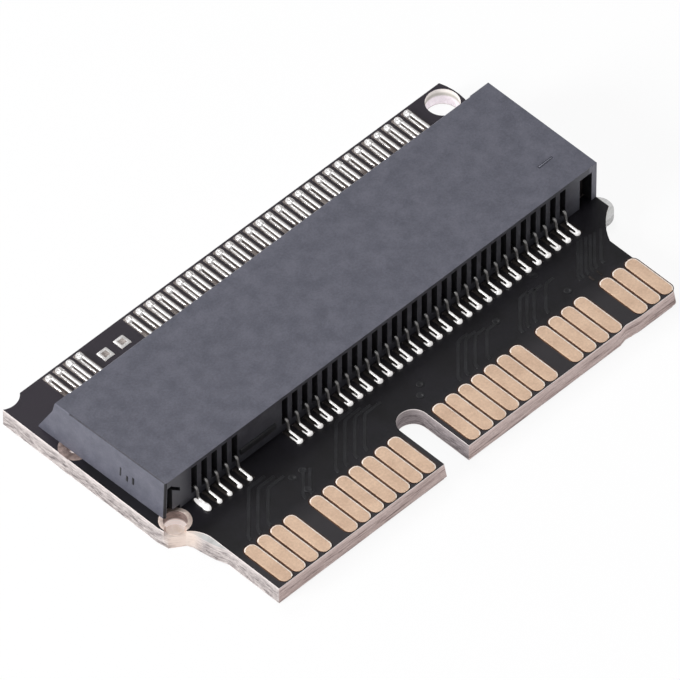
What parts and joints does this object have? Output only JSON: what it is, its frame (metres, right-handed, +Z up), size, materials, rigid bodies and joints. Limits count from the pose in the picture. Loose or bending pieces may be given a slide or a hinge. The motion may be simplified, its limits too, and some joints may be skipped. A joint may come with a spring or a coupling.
{
  "type": "nvme adapter card",
  "caption": "Small black circuit board with a low M-key drive socket on top and a notched gold card edge, joining a solid-state drive to another slot.",
  "frame": {"origin": "centre of the board's wide part, on the underside, midway between the front edge and the card edge", "axes": "+X along the socket towards the corner hole, +Y out of the socket's mouth (the card edge points to -Y), +Z up out of the board's socket side"},
  "size_m": [0.0224, 0.013, 0.0026],
  "materials": {
    "laminate": "sawn glass-epoxy, pale and grainy",
    "mask": "black solder mask, satin",
    "gold": "thin pale gold plate",
    "tin": "tinned and soldered, bright",
    "housing": "fine-textured moulded plastic, slate black",
    "contact": "plated spring strip, bright"
  },
  "bodies": {
    "root": {"board_laminate": "laminate", "solder_mask_top": "mask", "solder_mask_bottom": "mask", "top_fingers_left_outer": "gold", "top_fingers_left_inner": "gold", "top_fingers_right_inner": "gold", "top_fingers_right_middle": "gold", "top_fingers_right_outer": "gold", "bottom_fingers_left": "gold", "bottom_fingers_right": "gold", "side_ring": "gold", "shoulder_half_hole": "gold", "rear_pads_long_bank": "tin", "rear_pads_short_bank": "tin", "front_pads_long_bank": "tin", "front_pads_short_bank": "tin", "square_pads": "tin", "hold_down_pads": "tin", "socket_housing": "housing", "upper_contacts_long_bank": "contact", "upper_contacts_short_bank": "contact", "lower_contacts_long_bank": "contact", "lower_contacts_short_bank": "contact", "hold_down_left": "contact", "hold_down_right": "contact", "rear_solder_long_bank": "tin", "rear_solder_short_bank": "tin", "front_solder_long_bank": "tin", "front_solder_short_bank": "tin"}
  },
  "joints": []
}
